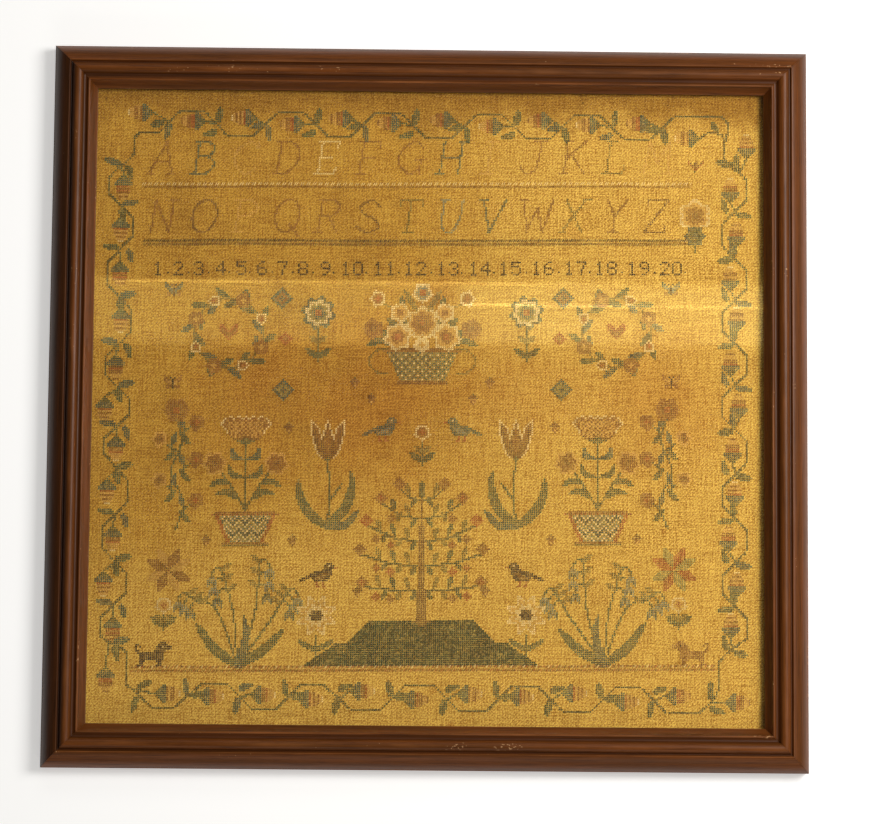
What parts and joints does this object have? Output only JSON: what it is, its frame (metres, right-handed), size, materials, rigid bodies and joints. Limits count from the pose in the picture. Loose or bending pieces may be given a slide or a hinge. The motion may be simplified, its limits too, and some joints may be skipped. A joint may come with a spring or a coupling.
{
  "type": "framed cross stitch sampler",
  "caption": "Cross stitch sampler on ochre linen, flat behind glass in a mitred dark wood moulding frame with a backing board.",
  "frame": {"origin": "middle of the back of the frame, in the plane of the rails' back faces", "axes": "+Z out of the picture's face, +Y to the picture's top, +X to the picture's right; the picture lies on its back"},
  "size_m": [0.512, 0.488, 0.022],
  "materials": {
    "stained_wood": "dark brown stain under a worn satin varnish",
    "clear_glass": "clear picture glass",
    "ochre_linen": "toned plain weave linen with cotton and silk cross stitch",
    "brown_board": "plain brown board"
  },
  "bodies": {
    "root": {"frame_bottom": "stained_wood", "frame_right": "stained_wood", "frame_top": "stained_wood", "frame_left": "stained_wood", "glass_pane": "clear_glass", "sampler_cloth": "ochre_linen", "backing_board": "brown_board"}
  },
  "joints": []
}
